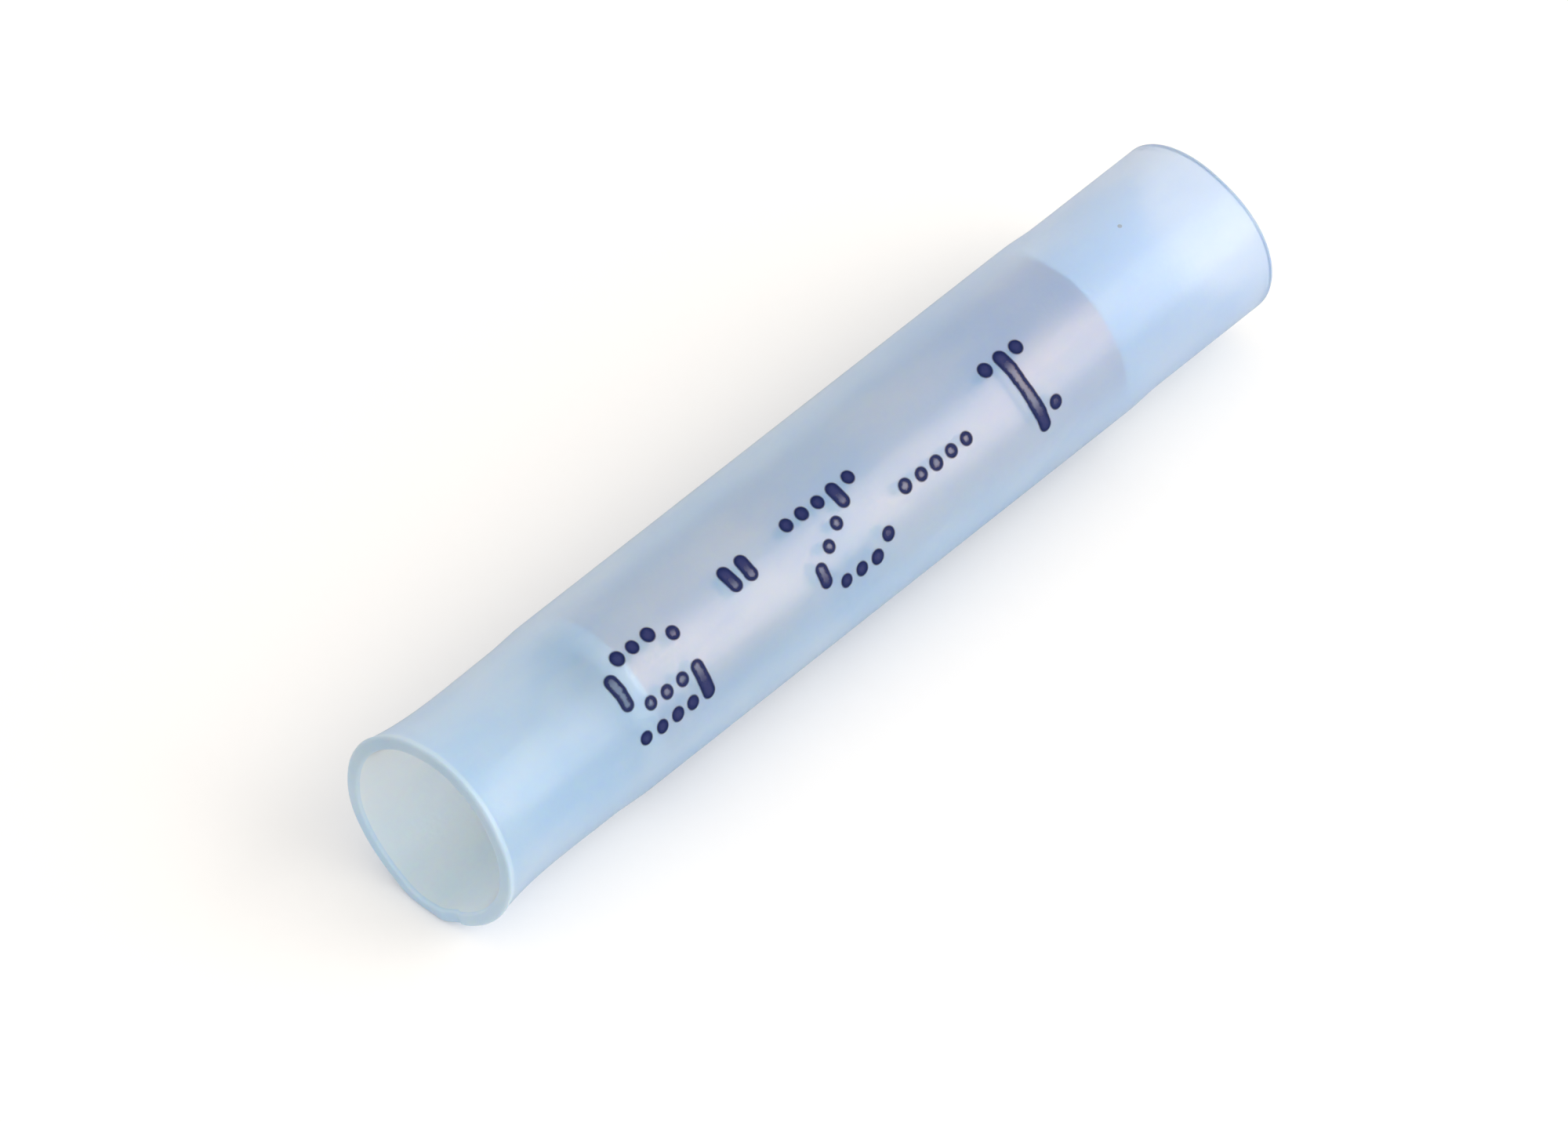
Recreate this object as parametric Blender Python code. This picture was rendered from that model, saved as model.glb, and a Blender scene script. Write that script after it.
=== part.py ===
# Butt splice connector: a translucent blue nylon sleeve over a tinned crimp barrel.
#
# It lies on its side along X, with the belled mouth towards -X. The origin is the
# middle of its length, on the axis of the tube. All sizes are in metres.

from math import cos, pi, radians, sin, tau

import bmesh
import bpy
from mathutils import Vector

MM = 0.001

# Crimp barrel
BARREL_LENGTH = 16.0 * MM
BARREL_RADIUS = 2.0 * MM
BARREL_WALL = 0.85 * MM
BARREL_SHIFT = 0.33 * MM  # the barrel sits this far from the middle, towards +X
BARREL_EDGE = 0.12 * MM  # rounding of the barrel's outer edges
LEAD_IN = 0.30 * MM  # countersink that guides the bare wire in

# Wire stop: the barrel wall is punched inwards from below, halfway along
STOP_DEPTH = 0.70 * MM
STOP_REACH = 1.10 * MM  # from the middle of the dimple to its rim

# Serrations: shallow rings inside the barrel that grip the strands
GROOVES_A_SIDE = 3
GROOVE_DEPTH = 0.08 * MM
GROOVE_WIDTH = 0.50 * MM
GROOVE_PITCH = 1.50 * MM

# Nylon sleeve
SLEEVE_LENGTH = 26.0 * MM
SLEEVE_WALL = 0.36 * MM
SLEEVE_CLEARANCE = 0.03 * MM  # all round the barrel, between metal and nylon
SHOULDER_GAP = 0.10 * MM  # from the end of the barrel to where the sleeve narrows
SHOULDER_LENGTH = 1.10 * MM
SHOULDER_DROP = 0.05 * MM  # how much the sleeve narrows beyond the barrel
FLARE_LENGTH = 3.20 * MM
FLARE_RISE = 0.23 * MM  # how much the -X mouth is belled out
RIM_ROUND = 0.08 * MM  # rounding of the edges of both mouths

# Facets
SEGMENTS = 48
RESTING_FACETS = 3  # facets along the underside of the sleeve that lie in one plane
FLARE_STEPS = 10
SHOULDER_STEPS = 6
RIM_STEPS = 3
STOP_STEPS = 14

# Colours
NYLON_BLUE = (0.47, 0.63, 0.83, 1.0)
TIN_GREY = (0.72, 0.72, 0.70, 1.0)

SLEEVE_RADIUS = BARREL_RADIUS + SLEEVE_CLEARANCE + SLEEVE_WALL
BARREL_START = BARREL_SHIFT - BARREL_LENGTH / 2
BARREL_END = BARREL_SHIFT + BARREL_LENGTH / 2
BORE_RADIUS = BARREL_RADIUS - BARREL_WALL
RIM_CORNER = min(RIM_ROUND, SLEEVE_WALL / 3)
RESTING_ANGLE = RESTING_FACETS * pi / SEGMENTS  # from straight down to the edge of the flat


def clear_scene():
    for thing in list(bpy.data.objects):
        bpy.data.objects.remove(thing, do_unlink=True)


def plastic_or_metal(name, colour, metallic, roughness):
    material = bpy.data.materials.new(name)
    material.use_nodes = True
    shader = material.node_tree.nodes["Principled BSDF"]
    shader.inputs["Base Color"].default_value = colour
    shader.inputs["Metallic"].default_value = metallic
    shader.inputs["Roughness"].default_value = roughness
    material.diffuse_color = colour
    return material


def spread(start, stop, steps):
    """Evenly spaced values from start to stop, with both ends."""
    return [start + (stop - start) * step / steps for step in range(steps + 1)]


def quarter_round(x, radius, reach, facing_x, facing_out, steps):
    """Points of a rounded corner: it begins on the tube wall and ends on the end face.

    x and radius are the sharp corner; facing_x is -1 or 1 for the end of the tube, and
    facing_out is 1 for an outer corner and -1 for an inner one.
    """
    points = []
    for step in range(steps + 1):
        turn = radians(90) * step / steps
        along = x - facing_x * reach * (1 - sin(turn))
        across = radius - facing_out * reach * (1 - cos(turn))
        points.append((along, across))
    return points


def revolve(name, outline, material):
    """Spin a closed outline of (x, radius) points around X into one faceted tube.

    The first facet is centred on -Z, so that the tube lies on a flat strip.
    """
    mesh = bpy.data.meshes.new(name)
    form = bmesh.new()
    first = pi / SEGMENTS
    ring = [form.verts.new((x, -radius * sin(first), -radius * cos(first))) for x, radius in outline]
    edges = [form.edges.new((ring[i - 1], ring[i])) for i in range(len(ring))]
    bmesh.ops.spin(
        form,
        geom=ring + edges,
        cent=(0, 0, 0),
        axis=(1, 0, 0),
        angle=tau,
        steps=SEGMENTS,
        use_merge=True,
    )
    bmesh.ops.recalc_face_normals(form, faces=form.faces)
    form.to_mesh(mesh)
    form.free()
    mesh.materials.append(material)
    tube = bpy.data.objects.new(name, mesh)
    bpy.context.scene.collection.objects.link(tube)
    mesh.shade_smooth()
    mesh.set_sharp_from_angle(angle=radians(35))
    return tube


def sleeve_outer_radius(x):
    """Radius of the sleeve's outside: full over the barrel, narrower beyond, belled at -X."""
    past_barrel = max(BARREL_START - SHOULDER_GAP - x, x - BARREL_END - SHOULDER_GAP)
    shoulder = min(max(past_barrel / SHOULDER_LENGTH, 0.0), 1.0)
    narrowing = SHOULDER_DROP * (1 - cos(pi * shoulder)) / 2
    into_flare = max((FLARE_LENGTH - SLEEVE_LENGTH / 2 - x) / FLARE_LENGTH, 0.0)
    return SLEEVE_RADIUS - narrowing + FLARE_RISE * into_flare**3


def sleeve_stations():
    """Where the sleeve has a ring of vertices between its two rounded rims."""
    mouth = SLEEVE_LENGTH / 2
    left = BARREL_START - SHOULDER_GAP
    right = BARREL_END + SHOULDER_GAP
    stations = spread(-mouth, FLARE_LENGTH - mouth, FLARE_STEPS)
    stations += spread(left - SHOULDER_LENGTH, left, SHOULDER_STEPS)
    stations += spread(right, right + SHOULDER_LENGTH, SHOULDER_STEPS)
    return sorted(x for x in stations if abs(x) < mouth - RIM_CORNER)


def flatten_underside(sleeve):
    """The narrow flat that a soft tube lies on: the outside is cut back to one plane.

    It follows the local radius, so that it keeps to the bell and to the straight part.
    """
    below = Vector((0, 0, -1))
    for vertex in sleeve.data.vertices:
        across = Vector((0, vertex.co.y, vertex.co.z))
        outside = across.length > sleeve_outer_radius(vertex.co.x) - SLEEVE_WALL / 2
        if outside and across.angle(below) < RESTING_ANGLE:
            vertex.co.z = -across.length * cos(RESTING_ANGLE)


def build_sleeve(material):
    """The insulation: one thin nylon tube, gripping the barrel and open at both ends."""
    mouth = SLEEVE_LENGTH / 2
    belled = sleeve_outer_radius(-mouth)
    straight = sleeve_outer_radius(mouth)
    stations = sleeve_stations()

    outline = [(x, sleeve_outer_radius(x)) for x in stations]
    outline += quarter_round(mouth, straight, RIM_CORNER, 1, 1, RIM_STEPS)
    outline += quarter_round(mouth, straight - SLEEVE_WALL, RIM_CORNER, 1, -1, RIM_STEPS)[::-1]
    outline += [(x, sleeve_outer_radius(x) - SLEEVE_WALL) for x in reversed(stations)]
    outline += quarter_round(-mouth, belled - SLEEVE_WALL, RIM_CORNER, -1, -1, RIM_STEPS)
    outline += quarter_round(-mouth, belled, RIM_CORNER, -1, 1, RIM_STEPS)[::-1]
    sleeve = revolve("insulation_sleeve", outline, material)
    flatten_underside(sleeve)
    return sleeve


def stop_depth(x, angle_from_below):
    """How far the punch has pushed the barrel wall inwards at one spot."""
    middle_of_wall = BARREL_RADIUS - BARREL_WALL / 2
    around = middle_of_wall * angle_from_below
    away = Vector((x - BARREL_SHIFT, around)).length / STOP_REACH
    return STOP_DEPTH * cos(away * pi / 2) ** 2 if away < 1 else 0.0


def groove_outline(middle):
    """One serration, cut outwards into the bore, from its +X edge to its -X edge."""
    edge = GROOVE_WIDTH / 2
    floor = edge - GROOVE_DEPTH
    return [
        (middle + edge, BORE_RADIUS),
        (middle + floor, BORE_RADIUS + GROOVE_DEPTH),
        (middle - floor, BORE_RADIUS + GROOVE_DEPTH),
        (middle - edge, BORE_RADIUS),
    ]


def build_barrel(material):
    """The conductor: a thick metal tube with serrations inside and a punched wire stop."""
    dimple = spread(BARREL_SHIFT - STOP_REACH, BARREL_SHIFT + STOP_REACH, STOP_STEPS)
    groove_span = GROOVE_PITCH * (GROOVES_A_SIDE - 1)
    half_middle = (BARREL_LENGTH / 2 + STOP_REACH) / 2
    first_groove = half_middle - groove_span / 2
    groove_middles = [first_groove + GROOVE_PITCH * count for count in range(GROOVES_A_SIDE)]

    outline = [(x, BARREL_RADIUS) for x in dimple]
    outline += quarter_round(BARREL_END, BARREL_RADIUS, BARREL_EDGE, 1, 1, RIM_STEPS)
    outline += [(BARREL_END, BORE_RADIUS + LEAD_IN), (BARREL_END - LEAD_IN, BORE_RADIUS)]
    for middle in reversed(groove_middles):
        outline += groove_outline(BARREL_SHIFT + middle)
    outline += [(x, BORE_RADIUS) for x in reversed(dimple)]
    for middle in groove_middles:
        outline += groove_outline(BARREL_SHIFT - middle)
    outline += [(BARREL_START + LEAD_IN, BORE_RADIUS), (BARREL_START, BORE_RADIUS + LEAD_IN)]
    outline += quarter_round(BARREL_START, BARREL_RADIUS, BARREL_EDGE, -1, 1, RIM_STEPS)[::-1]
    barrel = revolve("crimp_barrel", outline, material)

    below = Vector((0, 0, -1))
    for vertex in barrel.data.vertices:
        outward = Vector((0, vertex.co.y, vertex.co.z)).normalized()
        vertex.co -= outward * stop_depth(vertex.co.x, outward.angle(below))
    return barrel


clear_scene()
build_sleeve(plastic_or_metal("nylon", NYLON_BLUE, 0.0, 0.35))
build_barrel(plastic_or_metal("tinned_metal", TIN_GREY, 1.0, 0.35))
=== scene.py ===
# Looks of the butt splice connector: milky blue nylon, tinned barrel and dot-printed numbers.
#
# All sizes are in metres, in the frame of the solids: the tube lies along X with its
# belled mouth towards -X, and its axis is the X axis. An angle "around" is measured from
# +Z towards -Y, which is the side that the camera sees.

from math import cos, pi, radians, sin, tau

import bpy
import numpy as np
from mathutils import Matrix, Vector


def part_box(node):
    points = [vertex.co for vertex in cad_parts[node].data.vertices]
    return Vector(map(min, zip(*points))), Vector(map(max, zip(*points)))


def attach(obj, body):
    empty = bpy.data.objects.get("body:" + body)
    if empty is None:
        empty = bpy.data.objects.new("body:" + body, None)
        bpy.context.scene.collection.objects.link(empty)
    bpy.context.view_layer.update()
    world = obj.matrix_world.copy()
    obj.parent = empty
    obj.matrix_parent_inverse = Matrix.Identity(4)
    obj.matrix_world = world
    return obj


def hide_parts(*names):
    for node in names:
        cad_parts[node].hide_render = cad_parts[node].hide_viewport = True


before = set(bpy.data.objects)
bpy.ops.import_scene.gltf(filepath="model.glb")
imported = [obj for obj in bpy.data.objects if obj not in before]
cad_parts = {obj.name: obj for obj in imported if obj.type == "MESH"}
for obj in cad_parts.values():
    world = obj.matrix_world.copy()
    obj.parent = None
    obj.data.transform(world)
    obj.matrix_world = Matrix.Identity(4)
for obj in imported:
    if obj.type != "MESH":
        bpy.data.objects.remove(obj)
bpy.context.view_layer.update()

MM = 0.001

# Places read from the solids
CAD_SEGMENTS = 48  # the solids' round faces are flats, so their boxes are a little narrow
FLAT_TO_ROUND = 1 / cos(pi / CAD_SEGMENTS)
SLEEVE_LOW, SLEEVE_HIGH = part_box("insulation_sleeve")
BARREL_LOW, BARREL_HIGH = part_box("crimp_barrel")
NEAR_MOUTH = SLEEVE_LOW.x
FAR_MOUTH = SLEEVE_HIGH.x
BELLED_RADIUS = SLEEVE_HIGH.z * FLAT_TO_ROUND
BARREL_NEAR = BARREL_LOW.x
BARREL_FAR = BARREL_HIGH.x
BARREL_MIDDLE = (BARREL_NEAR + BARREL_FAR) / 2
BARREL_RADIUS = BARREL_HIGH.z * FLAT_TO_ROUND
FLOOR_LEVEL = SLEEVE_LOW.z

# Sleeve, as in the solids
GRIP_GAP = 0.03 * MM
SLEEVE_WALL = 0.36 * MM
SLEEVE_RADIUS = BARREL_RADIUS + GRIP_GAP + SLEEVE_WALL
SHOULDER_GAP = 0.10 * MM
SHOULDER_LENGTH = 1.10 * MM
SHOULDER_DROP = 0.05 * MM
FLARE_LENGTH = 3.20 * MM
RIM_ROUND = 0.08 * MM
RESTING_ANGLE = 3 * pi / CAD_SEGMENTS  # the underside is a narrow flat, to this angle each way

# Barrel, as in the solids
BARREL_WALL = 0.85 * MM
BORE_RADIUS = BARREL_RADIUS - BARREL_WALL
BARREL_EDGE = 0.12 * MM
LEAD_IN = 0.30 * MM
STOP_DEPTH = 0.70 * MM
STOP_REACH = 1.10 * MM
GROOVES_A_SIDE = 3
GROOVE_DEPTH = 0.08 * MM
GROOVE_WIDTH = 0.50 * MM
GROOVE_PITCH = 1.50 * MM

# The drawn tube, where the barrel doesn't fill it
UNEVENNESS = 0.012 * MM
UNEVEN_TURNS = (1, 2, 3, 5)  # waves around the tube
UNEVEN_PITCH = (6 * MM, 15 * MM)  # shortest and longest wave along it
UNEVEN_SEED = 7
GRIP_SPAN = (BARREL_NEAR - SHOULDER_LENGTH, BARREL_NEAR, BARREL_FAR, BARREL_FAR + SHOULDER_LENGTH)
MOUTH_OVALITY = 0.035 * MM  # how far the belled mouth is out of round
OVAL_REACH = 5.0 * MM
OVAL_TURN = radians(40)
OVAL_THIRD = 0.4  # share of a three-cornered wave in it

# The cut ends. A wave is its number around the mouth, its phase and its share. A span is
# where a mark starts, where it is full, where it starts to fade and where it has gone.
CUT_REACH = 0.6 * MM  # how far into the tube a cut's marks fade out
CUT_WAVE = 0.02 * MM  # how far the cut ends are off a flat plane
NEAR_WAVES = ((1, 0.7, 1.0), (4, 0.0, 0.3), (11, 0.0, 0.2))
FAR_WAVES = ((1, 2.1, 1.0), (5, 0.0, 0.3))
CUT_NIB = 0.10 * MM  # sliver left by the blade on the belled mouth
NIB_SPAN = np.radians((92, 149, 152, 156))
NEAR_BULGE = 0.15 * MM  # the belled mouth is cut a little longer low down, at the back
BULGE_SPAN = np.radians((150, 168, 178, 226))
FAR_BULGE = 0.16 * MM  # the straight mouth is cut a little longer on the camera's side
FAR_BULGE_MIDDLE = radians(98)
FAR_BULGE_EASE = (0.1, 1.0)  # cosines of the angle from its middle: where it starts and is full

# Dot-printed characters: rows of dots from the top down, read with the far mouth on the left
GLYPHS = {
    "1": ("..#..", ".##..", "..#..", "..#..", "..#..", "..#..", ".###."),
    "-": (".....", ".....", ".....", "#####", ".....", ".....", "....."),
    "2": (".###.", "#...#", "....#", "...#.", "..#..", ".#...", "#####"),
    ".": (".....", ".....", ".....", ".....", ".....", ".##..", ".##.."),
    "5": ("#####", "#....", "####.", "....#", "....#", "#...#", ".###."),
}
PRINTED = "1-2.5"
PRINT_MIDDLE = -0.95 * MM
PRINT_BASE = radians(22.5)  # where the lowest row of dots lies around the sleeve
GLYPH_ADVANCE = 3.10 * MM
COLUMN_PITCH = 0.515 * MM
ROW_PITCH = 0.326 * MM
ROW_SLANT = 0.017 * MM  # each higher row starts this much further towards the far mouth
PRINT_HEIGHT = 6 * ROW_PITCH  # from the lowest row of dots to the highest
DOT_RADIUS = 0.195 * MM
DOT_SIZES = (0.94, 1.05)  # smallest and largest dot, as shares of the radius
DOT_WANDER = 0.01 * MM
DOT_SEED = 11
INK_LIFT = 0.006 * MM

# Spacing of the meshes' points
AROUND_STEPS = 160
RIM_STEPS = 6
LEAD_STEPS = 4
FLARE_SPACING = 0.12 * MM
SLEEVE_SPACING = 0.25 * MM
BARREL_SPACING = 0.12 * MM
BORE_SPACING = 0.08 * MM
PRINT_SPACING = 0.026 * MM
OUTLINE_FITS = 3  # times that the print's edge is moved onto the dots' outline
LEAST_SLOPE = 0.2  # keeps that move short where two dots meet

# Material slots of the sleeve and of the barrel
OUTSIDE, INSIDE, CUT = range(3)
GRIPPED, BARE = range(2)

# Grains: their number a metre along x, y and z, and the detail of the noise
CLOUD_GRAIN = (260, 520, 520), 3.0
HAZE_GRAIN = (300, 700, 700), 2.0
STREAK_GRAIN = (420, 4200, 4200), 2.0
PEEL_GRAIN = (5200, 5200, 5200), 2.0
PATCH_GRAIN = (300, 620, 620), 3.0
LINE_GRAIN = (260, 9000, 9000), 2.0
MOTTLE_GRAIN = (9000, 9000, 9000), 2.0
GRAIN_SPAN = (0.30, 0.70)  # the levels that a grain's noise mostly lies between

# Nylon, in the order of the slots: the milk's colour, the clear share at the underside and
# at the top, and the colour of the light that the clear share lets through. The lower clear
# share underneath is painted light: the milkier underside scatters light back where the floor
# shades the inside and the cut ends. The inside's paler milk is painted light too: it lifts
# the dim inside of the tube.
NYLONS = {
    "milky_nylon": ((0.49, 0.70, 1.0), 0.42, 0.42, (0.98, 0.985, 0.98)),
    "milky_nylon_inside": ((0.77, 0.88, 1.0), 0.10, 0.90, (0.93, 0.965, 1.0)),
    "milky_nylon_cut": ((0.62, 0.79, 1.0), 0.10, 0.34, (0.98, 0.985, 0.98)),
}
NYLON_ROUGHNESS = 0.30
NYLON_IOR = 1.53
NYLON_RELIEF = 0.004 * MM
SCATTER_REACH = 0.15 * MM
SCATTER_SPREAD = (1.0, 0.7, 0.4)  # shares of that reach for red, green and blue
DEEP_CLOUD, PALE_CLOUD = 1.12, 0.86  # shares of the milk's own depth of colour
HAZE = 0.12  # how much the clear share varies from place to place
# Colour of the specks of dirt, and of the painted shade that darkens the straight mouth
DIRT_AND_SHADE_COLOUR = (0.16, 0.20, 0.26)
FAR_PAINTED_SHADE = 0.15  # painted shade: how much the milk darkens towards the straight mouth
SPECK_CELLS = 620.0  # a metre
SPECK_SIZE = 0.035  # of a cell
SPECK_SHARE = 0.45  # of the cells

# Tin, in the order of the slots: its dull and bright tones, and how metallic it is. The
# copper-warm tones under the nylon are painted light: they warm the highlight seen through the
# sleeve, while the tin itself is as neutral as the bare tin.
TINS = {
    "tin_under_nylon_painted_warm": ((0.43, 0.22, 0.11), (0.53, 0.27, 0.14), 1.0),
    "bare_tin": ((0.48, 0.47, 0.45), (0.64, 0.63, 0.61), 0.7),
}
TIN_ROUGHNESS = (0.34, 0.44)
TIN_RELIEF = 0.006 * MM

# Ink: stops run from 0 at a dot's edge to 1 at its middle, or from the text's foot to its top
INK_ROUGHNESS = 0.42
INK_GLOSS = 0.12
INK_MOTTLE = 0.5
INK_COLOURS = [(0.10, (0.004, 0.011, 0.070)), (0.80, (0.022, 0.030, 0.125))]
INK_MIDDLE = [(0.36, 0.0), (0.80, 1.0)]
INK_THINNESS_PAINTED_HIGHLIGHT = [(0.02, 0.10), (0.24, 0.62), (0.62, 0.60), (0.94, 0.12)]  # up the text; thin in the middle rows, where the highlight falls, as a painted highlight
INK_FEATHER = [(0.0, 0.60), (0.20, 0.0)]

# Studio: the floor and the dome, as they light and as they are seen, and the lamp
FLOOR_REACH = 0.15
FLOOR_LIGHT, FLOOR_SEEN = (0.85, 0.85, 0.85), (1.18, 1.125, 1.045)
DOME_LIGHT, DOME_SEEN = (0.75, 0.762, 0.79), (1.0, 1.0, 1.0)
KEY_DIRECTION = (0.5, -0.76, 0.53)
KEY_DISTANCE = 0.6
KEY_SIZE = 0.55
KEY_LEVEL = 0.53
KEY_COLOUR = (0.985, 0.99, 1.0)

# Camera: the photograph's view, from the belled mouth's side and above
CAMERA_AZIMUTH = radians(-47.1)
CAMERA_ELEVATION = radians(46.9)
CAMERA_DISTANCE = 0.47
SENSOR = 36.0
FRAME_WIDTH = 36.17 * MM  # what the photograph's width spans at the object
CENTRE_X, CENTRE_Y = 1041.4, 670.4  # where the photograph shows the middle of the object
PHOTO_WIDTH, PHOTO_HEIGHT = 2000, 1431


def smooth(low, high, value):
    """0 below low, 1 above high, with a soft step between them."""
    share = np.clip((value - low) / (high - low), 0.0, 1.0)
    return share * share * (3 - 2 * share)


def hump(span, value):
    """1 between the span's two middle places and 0 outside the span, with soft steps between."""
    rise_from, rise_to, fall_from, fall_to = span
    return smooth(rise_from, rise_to, value) * (1 - smooth(fall_from, fall_to, value))


def waves(terms, around):
    """The sum of a few waves around the tube."""
    return sum(share * np.sin(number * around + phase) for number, phase, share in terms)


def stations(start, stop, spacing):
    """Evenly spaced places from start to stop, with both ends."""
    return np.linspace(start, stop, max(2, int(abs(stop - start) / spacing) + 1))


def corner(x, radius, reach, facing_x, facing_out):
    """A rounded corner of a tube's end, from the tube wall to the end face."""
    turn = np.linspace(0, pi / 2, RIM_STEPS + 1)
    along = x - facing_x * reach * (1 - np.sin(turn))
    across = radius - facing_out * reach * (1 - np.cos(turn))
    return list(zip(along, across))


def grid(outline):
    """x and radius of a tube's half section as columns, and the angles around it as a row."""
    x, radius = np.array(outline).T[:, :, None]
    around = np.linspace(0, tau, AROUND_STEPS, endpoint=False)[None, :]
    return x, radius, around


def on_tube(x, radius, around):
    """Points on a round about the X axis."""
    return np.stack([x + 0 * around, -radius * np.sin(around), radius * np.cos(around)], axis=-1)


def new_piece(name, points, faces):
    """A smooth mesh object in the scene."""
    mesh = bpy.data.meshes.new(name)
    mesh.from_pydata(points.tolist(), [], faces.tolist())
    mesh.shade_smooth()
    piece = bpy.data.objects.new(name, mesh)
    bpy.context.scene.collection.objects.link(piece)
    return piece


def new_tube(name, rings, slots):
    """A closed tube from rings of points; rings has the shape (ring, around, 3).

    slots gives the material slot of the faces between each ring and the next.
    """
    ring_count, around_count = rings.shape[:2]
    here = np.arange(ring_count * around_count).reshape(ring_count, around_count)
    above = np.roll(here, -1, axis=0)
    corners = [here, np.roll(here, -1, axis=1), np.roll(above, -1, axis=1), above]
    piece = new_piece(name, rings.reshape(-1, 3), np.stack(corners, axis=-1).reshape(-1, 4))
    piece.data.polygons.foreach_set("material_index", np.repeat(slots, around_count))
    return piece


def sleeve_radius(x):
    """Radius of the sleeve's outside: full over the barrel, narrower beyond, belled at -X."""
    past = np.maximum(BARREL_NEAR - SHOULDER_GAP - x, x - BARREL_FAR - SHOULDER_GAP)
    shoulder = np.clip(past / SHOULDER_LENGTH, 0, 1)
    narrowing = SHOULDER_DROP * (1 - np.cos(pi * shoulder)) / 2
    into_flare = np.clip((FLARE_LENGTH + NEAR_MOUTH - x) / FLARE_LENGTH, 0, 1)
    painted_light_rise = BELLED_RADIUS - (SLEEVE_RADIUS - SHOULDER_DROP)
    return SLEEVE_RADIUS - narrowing + painted_light_rise * into_flare**3


def unevenness(x, around):
    """Gentle unevenness of a drawn tube, from -1 to 1."""
    draw = np.random.default_rng(UNEVEN_SEED)
    total = np.zeros(np.broadcast(x, around).shape)
    for turns in UNEVEN_TURNS:
        phase_around = draw.uniform(0, tau)
        phase_along = draw.uniform(0, tau)
        pitch = draw.uniform(*UNEVEN_PITCH)
        along = np.sin(tau * x / pitch + phase_along)
        total = total + np.sin(turns * around + phase_around) * along / turns
    return total / 2


def cut_shift(x, around):
    """How far along X the cuts' marks move each place near the two mouths."""
    near_end = 1 - smooth(NEAR_MOUTH, NEAR_MOUTH + CUT_REACH, x)
    near_marks = CUT_NIB * hump(NIB_SPAN, around) + NEAR_BULGE * hump(BULGE_SPAN, around)
    near_shift = CUT_WAVE * waves(NEAR_WAVES, around) - near_marks
    far_end = smooth(FAR_MOUTH - CUT_REACH, FAR_MOUTH, x)
    far_mark = FAR_BULGE * smooth(*FAR_BULGE_EASE, np.cos(around - FAR_BULGE_MIDDLE))
    far_shift = CUT_WAVE * waves(FAR_WAVES, around) + far_mark
    return near_end * near_shift + far_end * far_shift


def sleeve_outline():
    """Half section of the sleeve as (x, radius) points, and the material slot of each."""
    flare_end = NEAR_MOUTH + FLARE_LENGTH
    along = np.concatenate([
        stations(NEAR_MOUTH + RIM_ROUND, flare_end, FLARE_SPACING)[1:-1],
        stations(flare_end, FAR_MOUTH - RIM_ROUND, SLEEVE_SPACING)[:-1],
    ])
    radii = sleeve_radius(along)
    near, far = sleeve_radius(NEAR_MOUTH), sleeve_radius(FAR_MOUTH)
    outside = list(zip(along, radii))
    far_cut = corner(FAR_MOUTH, far, RIM_ROUND, 1, 1)
    far_cut += corner(FAR_MOUTH, far - SLEEVE_WALL, RIM_ROUND, 1, -1)[::-1]
    inside = list(zip(along, radii - SLEEVE_WALL))[::-1]
    near_cut = corner(NEAR_MOUTH, near - SLEEVE_WALL, RIM_ROUND, -1, -1)
    near_cut += corner(NEAR_MOUTH, near, RIM_ROUND, -1, 1)[::-1]
    runs = ((OUTSIDE, outside), (CUT, far_cut), (INSIDE, inside), (CUT, near_cut))
    slots = [slot for slot, points in runs for _ in points]
    return outside + far_cut + inside + near_cut, slots


def build_sleeve():
    """The nylon tube, with its soft bell, its cut ends and the grip round the barrel."""
    outline, slots = sleeve_outline()
    x, radius, around = grid(outline)
    below = np.abs(around - pi)
    belled = 1 - smooth(NEAR_MOUTH, NEAR_MOUTH + OVAL_REACH, x)
    oval = np.cos(2 * (around - OVAL_TURN)) + OVAL_THIRD * np.cos(3 * around)
    free = 1 - hump(GRIP_SPAN, x)
    out_of_round = MOUTH_OVALITY * belled * oval + UNEVENNESS * free * unevenness(x, around)
    radius = radius + out_of_round * smooth(RESTING_ANGLE, 2 * RESTING_ANGLE, below)
    flat = cos(RESTING_ANGLE) / np.cos(np.minimum(below, RESTING_ANGLE))
    on_outside = radius > sleeve_radius(x) - SLEEVE_WALL / 2
    radius = np.where(on_outside, radius * flat, radius)
    return new_tube("nylon_sleeve", on_tube(x + cut_shift(x, around), radius, around), slots)


def stop_depth(x, around):
    """How far the punch has pushed the barrel wall inwards, halfway along and from below."""
    middle_of_wall = BARREL_RADIUS - BARREL_WALL / 2
    away = np.hypot(x - BARREL_MIDDLE, middle_of_wall * (around - pi)) / STOP_REACH
    return np.where(away < 1, STOP_DEPTH * np.cos(np.minimum(away, 1) * pi / 2) ** 2, 0.0)


def groove_depth(x):
    """How deep the serrations are cut into the bore at x: as many on each side of the stop."""
    middle = (BARREL_FAR - BARREL_MIDDLE + STOP_REACH) / 2
    offsets = middle + GROOVE_PITCH * (np.arange(GROOVES_A_SIDE) - (GROOVES_A_SIDE - 1) / 2)
    nearest = np.min(np.abs(np.abs(x - BARREL_MIDDLE) - offsets))
    return np.clip(GROOVE_WIDTH / 2 - nearest, 0, GROOVE_DEPTH)


def countersink(x, facing_x):
    """The slope that leads a bare wire in, from the end face to the bore."""
    share = np.linspace(0, 1, LEAD_STEPS + 1)
    return list(zip(x - facing_x * LEAD_IN * share, BORE_RADIUS + LEAD_IN * (1 - share)))


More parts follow.
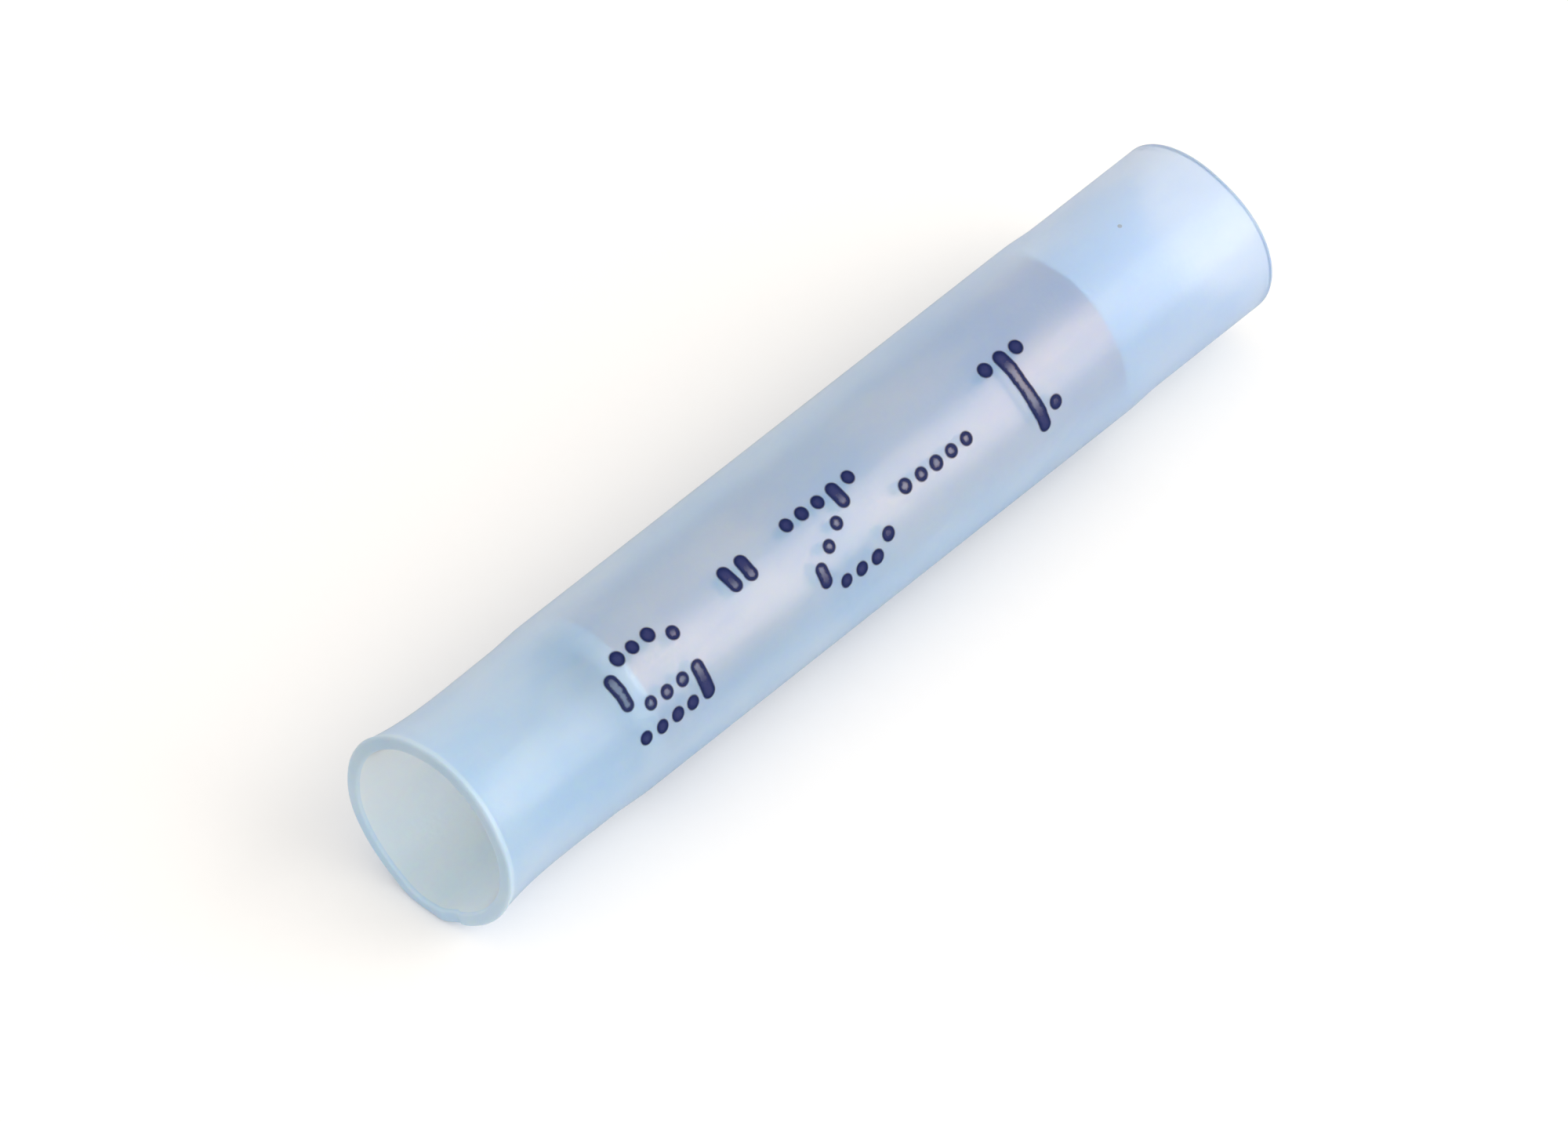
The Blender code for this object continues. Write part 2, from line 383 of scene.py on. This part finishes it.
def build_barrel():
    """The tinned tube, with its serrations, countersinks and punched wire stop."""
    outer = stations(BARREL_NEAR + BARREL_EDGE, BARREL_FAR - BARREL_EDGE, BARREL_SPACING)[1:-1]
    inner = stations(BARREL_FAR - LEAD_IN, BARREL_NEAR + LEAD_IN, BORE_SPACING)[1:-1]
    outline = [(x, BARREL_RADIUS) for x in outer]
    outline += corner(BARREL_FAR, BARREL_RADIUS, BARREL_EDGE, 1, 1)
    outline += countersink(BARREL_FAR, 1)
    outline += [(x, BORE_RADIUS + groove_depth(x)) for x in inner]
    outline += countersink(BARREL_NEAR, -1)[::-1]
    outline += corner(BARREL_NEAR, BARREL_RADIUS, BARREL_EDGE, -1, 1)[::-1]
    slots = [GRIPPED] * len(outer) + [BARE] * (len(outline) - len(outer))
    x, radius, around = grid(outline)
    return new_tube("tinned_barrel", on_tube(x, radius - stop_depth(x, around), around), slots)


def print_strokes():
    """Dots of the print as short strokes: two ends as (along, up) the text, and a radius.

    Dots right above each other have run together, so each such pair is one stroke.
    """
    draw = np.random.default_rng(DOT_SEED)
    strokes = []
    for place, character in enumerate(PRINTED):
        start = (place - (len(PRINTED) - 1) / 2) * GLYPH_ADVANCE - 2 * COLUMN_PITCH
        dots = {}
        for row, cells in enumerate(GLYPHS[character][::-1]):
            for column, cell in enumerate(cells):
                if cell == "#":
                    wander = draw.normal(0, DOT_WANDER, 2)
                    along = start + COLUMN_PITCH * column - ROW_SLANT * row
                    spot = np.array([along, ROW_PITCH * row]) + wander
                    dots[column, row] = spot, DOT_RADIUS * draw.uniform(*DOT_SIZES)
        for (column, row), (spot, radius) in dots.items():
            above = dots.get((column, row + 1), (spot, radius))[0]
            strokes.append((spot, above, radius))
    return strokes


def print_depth(along, up, strokes):
    """How deep a place lies inside the inked strokes; below 0 is outside them."""
    depth = np.full(along.shape, -1.0)
    for first, last, radius in strokes:
        run = last - first
        share = ((along - first[0]) * run[0] + (up - first[1]) * run[1]) / max(run @ run, 1e-12)
        share = np.clip(share, 0, 1)
        away = np.hypot(along - first[0] - share * run[0], up - first[1] - share * run[1])
        depth = np.maximum(depth, radius - away)
    return depth


def fit_to_dots(along, up, edge, strokes):
    """Moves the edge points of the print's grid onto the outline of its dots."""
    small = 0.2 * PRINT_SPACING
    for _ in range(OUTLINE_FITS):
        depth = print_depth(along, up, strokes)
        slope_along = (print_depth(along + small, up, strokes) - depth) / small
        slope_up = (print_depth(along, up + small, strokes) - depth) / small
        length = np.maximum(slope_along**2 + slope_up**2, LEAST_SLOPE)
        along = np.where(edge, along - depth * slope_along / length, along)
        up = np.where(edge, up - depth * slope_up / length, up)
    return along, up


def build_print():
    """The inked dots: one thin layer on the sleeve, with its outline fitted to the round dots."""
    strokes = print_strokes()
    reach = len(PRINTED) * GLYPH_ADVANCE / 2
    margin = 2 * DOT_RADIUS
    along, up = np.meshgrid(
        np.arange(-reach, reach, PRINT_SPACING),
        np.arange(-margin, PRINT_HEIGHT + margin, PRINT_SPACING),
        indexing="ij",
    )
    half = PRINT_SPACING / 2
    kept = print_depth(along[:-1, :-1] + half, up[:-1, :-1] + half, strokes) > 0
    faces_at = np.zeros(along.shape, int)
    for a in (0, 1):
        for b in (0, 1):
            faces_at[a : a + kept.shape[0], b : b + kept.shape[1]] += kept
    inked = faces_at > 0
    edge = inked & (faces_at < 4)
    along, up = fit_to_dots(along, up, edge, strokes)
    depth = np.where(edge, 0.0, print_depth(along, up, strokes))

    x = PRINT_MIDDLE - along
    points = on_tube(x, sleeve_radius(x) + INK_LIFT, PRINT_BASE + up / SLEEVE_RADIUS)
    number = np.cumsum(inked.ravel()).reshape(inked.shape) - 1
    corners = [number[:-1, :-1], number[:-1, 1:], number[1:, 1:], number[1:, :-1]]
    layer = new_piece("size_print", points[inked], np.stack(corners, axis=-1)[kept])
    for name, values in (("depth", depth / DOT_RADIUS), ("height", up / PRINT_HEIGHT)):
        attribute = layer.data.attributes.new(name, "FLOAT", "POINT")
        attribute.data.foreach_set("value", values[inked])
    return layer


def new_material(name):
    """A node material; returns it with its Principled shader and its node tree."""
    material = bpy.data.materials.new(name)
    material.use_nodes = True
    return material, material.node_tree.nodes["Principled BSDF"], material.node_tree


def combine(tree, operation, first, second):
    """The result of a Math node; first and second are sockets or floats."""
    node = tree.nodes.new("ShaderNodeMath")
    node.operation = operation
    for socket, value in zip(node.inputs, (first, second)):
        if isinstance(value, float):
            socket.default_value = value
        else:
            tree.links.new(value, socket)
    return node.outputs[0]


def ramp_of(tree, value, stops):
    """A colour or grey ramp of a value; stops are pairs of a place and a colour or a grey level."""
    ramp = tree.nodes.new("ShaderNodeValToRGB")
    ramp.color_ramp.interpolation = "EASE"
    elements = ramp.color_ramp.elements
    while len(elements) < len(stops):
        elements.new(0.5)
    for element, (place, colour) in zip(elements, stops):
        element.position = place
        element.color = (*colour, 1) if isinstance(colour, tuple) else (colour, colour, colour, 1)
    tree.links.new(value, ramp.inputs[0])
    return ramp.outputs[0]


def mix_colours(tree, share, first, second):
    """A colour: first at a share of 0 and second at 1. Each is a colour or a socket."""
    mix = tree.nodes.new("ShaderNodeMix")
    mix.data_type = "RGBA"
    tree.links.new(share, mix.inputs[0])
    for socket, colour in zip((mix.inputs[6], mix.inputs[7]), (first, second)):
        if isinstance(colour, tuple):
            socket.default_value = (*colour, 1)
        else:
            tree.links.new(colour, socket)
    return mix.outputs[2]


def cover_with(tree, share, first, second):
    """Gives the surface a mix of two shaders: first at a share of 0 and second at 1."""
    blend = tree.nodes.new("ShaderNodeMixShader")
    tree.links.new(share, blend.inputs["Fac"])
    tree.links.new(first.outputs[0], blend.inputs[1])
    tree.links.new(second.outputs[0], blend.inputs[2])
    tree.links.new(blend.outputs[0], tree.nodes["Material Output"].inputs["Surface"])


def grain(tree, stretch, detail):
    """Noise in the piece's own space; stretch is the number of grains a metre along x, y and z."""
    place = tree.nodes.new("ShaderNodeTexCoord")
    scaled = tree.nodes.new("ShaderNodeMapping")
    scaled.inputs["Scale"].default_value = stretch
    noise = tree.nodes.new("ShaderNodeTexNoise")
    noise.inputs["Scale"].default_value = 1.0
    noise.inputs["Detail"].default_value = detail
    tree.links.new(place.outputs["Object"], scaled.inputs["Vector"])
    tree.links.new(scaled.outputs[0], noise.inputs["Vector"])
    return noise.outputs["Fac"]


def grain_ramp(tree, noise, low, high):
    """A ramp from low to high over the levels that a grain's noise mostly lies between."""
    return ramp_of(tree, noise, list(zip(GRAIN_SPAN, (low, high))))


def slope(tree, axis, start, stop, low, high):
    """A level from low to high, as the piece's own X, Y or Z goes from start to stop."""
    place = tree.nodes.new("ShaderNodeTexCoord")
    split = tree.nodes.new("ShaderNodeSeparateXYZ")
    tree.links.new(place.outputs["Object"], split.inputs[0])
    level = tree.nodes.new("ShaderNodeMapRange")
    for name, value in zip(("From Min", "From Max", "To Min", "To Max"), (start, stop, low, high)):
        level.inputs[name].default_value = value
    tree.links.new(split.outputs[axis], level.inputs["Value"])
    return level.outputs[0]


def relief(tree, height, depth, shaders):
    """Raises the surface of the shaders by height times depth."""
    bump = tree.nodes.new("ShaderNodeBump")
    bump.inputs["Strength"].default_value = 1.0
    bump.inputs["Distance"].default_value = depth
    tree.links.new(height, bump.inputs["Height"])
    for shader in shaders:
        tree.links.new(bump.outputs[0], shader.inputs["Normal"])


def specks(tree):
    """1 in a few tiny specks of dirt, 0 elsewhere."""
    place = tree.nodes.new("ShaderNodeTexCoord")
    cells = tree.nodes.new("ShaderNodeTexVoronoi")
    cells.inputs["Scale"].default_value = SPECK_CELLS
    tree.links.new(place.outputs["Object"], cells.inputs["Vector"])
    near = combine(tree, "LESS_THAN", cells.outputs["Distance"], SPECK_SIZE)
    split = tree.nodes.new("ShaderNodeSeparateColor")
    tree.links.new(cells.outputs["Color"], split.inputs[0])
    few = combine(tree, "LESS_THAN", split.outputs[0], SPECK_SHARE)
    return combine(tree, "MULTIPLY", near, few)


def nylon_material(name, milk, clear_below, clear_above, tint):
    """Milky nylon: blue where it scatters light back, and nearly neutral where it lets it through.

    A ray that is already in the wall leaves it without scattering again. The clear share rises
    from clear_below at the underside to clear_above at the top, which is painted light: the
    milkier underside scatters light back where the floor shades it. tint colours the clear light.
    """
    material, milky, tree = new_material(name)
    clear = tree.nodes.new("ShaderNodeBsdfPrincipled")
    for shader in (milky, clear):
        shader.inputs["Roughness"].default_value = NYLON_ROUGHNESS
        shader.inputs["IOR"].default_value = NYLON_IOR
    milky.inputs["Subsurface Weight"].default_value = 1.0
    milky.inputs["Subsurface Scale"].default_value = SCATTER_REACH
    milky.inputs["Subsurface Radius"].default_value = SCATTER_SPREAD
    clear.inputs["Base Color"].default_value = (*tint, 1)
    clear.inputs["Transmission Weight"].default_value = 1.0

    deep = tuple(1 - DEEP_CLOUD * (1 - level) for level in milk)
    pale = tuple(1 - PALE_CLOUD * (1 - level) for level in milk)
    clouded = grain_ramp(tree, grain(tree, *CLOUD_GRAIN), deep, pale)
    # Painted shade: the milk darkens steadily towards the straight mouth; the specks are real dirt
    far_painted_shade = slope(tree, "X", 0.0, FAR_MOUTH, 0.0, FAR_PAINTED_SHADE)
    specks_and_painted_shade = combine(tree, "MAXIMUM", specks(tree), far_painted_shade)
    tree.links.new(mix_colours(tree, specks_and_painted_shade, clouded, DIRT_AND_SHADE_COLOUR), milky.inputs["Base Color"])

    streaks = combine(tree, "ADD", grain(tree, *STREAK_GRAIN), grain(tree, *PEEL_GRAIN))
    relief(tree, streaks, NYLON_RELIEF, (milky, clear))

    in_wall = tree.nodes.new("ShaderNodeNewGeometry").outputs["Backfacing"]
    haze = combine(tree, "MULTIPLY", grain(tree, *HAZE_GRAIN), HAZE)
    # Painted light: the clear share is lower underneath, so the underside scatters more light back
    # where the floor shades it
    lowest, highest = clear_below - HAZE / 2, clear_above - HAZE / 2
    painted_light_rise = slope(tree, "Z", -SLEEVE_RADIUS, SLEEVE_RADIUS, lowest, highest)
    share = combine(tree, "ADD", haze, painted_light_rise)
    cover_with(tree, combine(tree, "MAXIMUM", in_wall, share), milky, clear)
    return material


def tin_material(name, dull, bright, metallic):
    """Tin plate over drawn copper: fine lines along the tube, and patches from dull to bright."""
    material, shader, tree = new_material(name)
    shader.inputs["Metallic"].default_value = metallic
    tones = grain_ramp(tree, grain(tree, *PATCH_GRAIN), dull, bright)
    tree.links.new(tones, shader.inputs["Base Color"])
    lines = grain(tree, *LINE_GRAIN)
    tree.links.new(grain_ramp(tree, lines, *TIN_ROUGHNESS), shader.inputs["Roughness"])
    relief(tree, lines, TIN_RELIEF, (shader,))
    return material


def ink_material():
    """Navy ink that has dried thick at the rim of each dot. It is thin in the middle of the text,
    where the highlight falls, which is a painted highlight.
    """
    material, ink, tree = new_material("navy_ink")
    ink.inputs["Roughness"].default_value = INK_ROUGHNESS
    ink.inputs["Specular IOR Level"].default_value = INK_GLOSS
    depth = tree.nodes.new("ShaderNodeAttribute")
    depth.attribute_name = "depth"
    height = tree.nodes.new("ShaderNodeAttribute")
    height.attribute_name = "height"
    mottle = combine(tree, "MULTIPLY", grain(tree, *MOTTLE_GRAIN), INK_MOTTLE)
    mottle = combine(tree, "SUBTRACT", mottle, INK_MOTTLE / 2)
    inside = combine(tree, "ADD", depth.outputs["Fac"], mottle)
    tree.links.new(ramp_of(tree, inside, INK_COLOURS), ink.inputs["Base Color"])
    # Painted highlight: the ink thins in the middle rows of the text, where the highlight on the
    # sleeve falls
    painted_highlight_thinness = ramp_of(tree, height.outputs["Fac"], INK_THINNESS_PAINTED_HIGHLIGHT)
    thin_dots_and_painted_highlight = combine(tree, "MULTIPLY", ramp_of(tree, inside, INK_MIDDLE), painted_highlight_thinness)
    feather = ramp_of(tree, depth.outputs["Fac"], INK_FEATHER)
    gap = tree.nodes.new("ShaderNodeBsdfTransparent")
    cover_with(tree, combine(tree, "MAXIMUM", thin_dots_and_painted_highlight, feather), ink, gap)
    return material


def seen_by(tree, *kinds):
    """1 for a ray of any of the kinds, 0 for others."""
    path = tree.nodes.new("ShaderNodeLightPath")
    seen = path.outputs[kinds[0]]
    for kind in kinds[1:]:
        seen = combine(tree, "MAXIMUM", seen, path.outputs[kind])
    return seen


def floor_material():
    """White paper that keeps the shadow; it shows whiter to the camera than it lights."""
    material, shader, tree = new_material("white_ground")
    shader.inputs["Roughness"].default_value = 1.0
    shader.inputs["Specular IOR Level"].default_value = 0.0
    seen = seen_by(tree, "Is Camera Ray", "Is Transmission Ray")
    tree.links.new(mix_colours(tree, seen, FLOOR_LIGHT, FLOOR_SEEN), shader.inputs["Base Color"])
    return material


def build_floor():
    """A flat square under the sleeve."""
    corners = np.array([(-1, -1, 0), (1, -1, 0), (1, 1, 0), (-1, 1, 0)])
    floor = new_piece("floor", FLOOR_REACH * corners, np.array([(0, 1, 2, 3)]))
    floor.location.z = FLOOR_LEVEL
    floor.data.materials.append(floor_material())


def build_world():
    """A dim dome for light, and white where the camera, gloss or glass looks at it."""
    world = bpy.data.worlds.new("studio")
    bpy.context.scene.world = world
    world.use_nodes = True
    tree = world.node_tree
    shade = tree.nodes["Background"]
    shade.inputs["Strength"].default_value = 1.0
    seen = seen_by(tree, "Is Camera Ray", "Is Glossy Ray", "Is Transmission Ray")
    tree.links.new(mix_colours(tree, seen, DOME_LIGHT, DOME_SEEN), shade.inputs["Color"])


def build_key():
    """A square lamp that gives a white surface facing it the brightness KEY_LEVEL."""
    lamp = bpy.data.lights.new("key", "AREA")
    lamp.shape = "SQUARE"
    lamp.size = KEY_SIZE
    lamp.color = KEY_COLOUR
    lamp.energy = KEY_LEVEL * pi * pi * KEY_DISTANCE**2
    thing = bpy.data.objects.new("key", lamp)
    direction = Vector(KEY_DIRECTION).normalized()
    thing.location = direction * KEY_DISTANCE
    thing.rotation_euler = direction.to_track_quat("Z", "Y").to_euler()
    bpy.context.scene.collection.objects.link(thing)


def build_camera():
    """The photograph's camera."""
    camera = bpy.data.cameras.new("camera")
    camera.sensor_width = SENSOR
    camera.lens = SENSOR * CAMERA_DISTANCE / FRAME_WIDTH
    camera.shift_x = (PHOTO_WIDTH / 2 - CENTRE_X) / PHOTO_WIDTH
    camera.shift_y = (CENTRE_Y - PHOTO_HEIGHT / 2) / PHOTO_WIDTH
    camera.clip_start = 0.01
    camera.clip_end = 10
    back = Vector((
        sin(CAMERA_AZIMUTH) * cos(CAMERA_ELEVATION),
        -cos(CAMERA_AZIMUTH) * cos(CAMERA_ELEVATION),
        sin(CAMERA_ELEVATION),
    ))
    thing = bpy.data.objects.new("camera", camera)
    thing.location = back * CAMERA_DISTANCE
    thing.rotation_euler = back.to_track_quat("Z", "Y").to_euler()
    bpy.context.scene.collection.objects.link(thing)
    bpy.context.scene.camera = thing


build_camera()
build_world()
build_floor()
build_key()

sleeve = build_sleeve()
for name, look in NYLONS.items():
    sleeve.data.materials.append(nylon_material(name, *look))
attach(sleeve, "root")
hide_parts("insulation_sleeve")

size_print = build_print()
size_print.data.materials.append(ink_material())
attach(size_print, "root")

barrel = build_barrel()
for name, look in TINS.items():
    barrel.data.materials.append(tin_material(name, *look))
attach(barrel, "root")
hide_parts("crimp_barrel")

bpy.context.scene.view_settings.view_transform = "Standard"
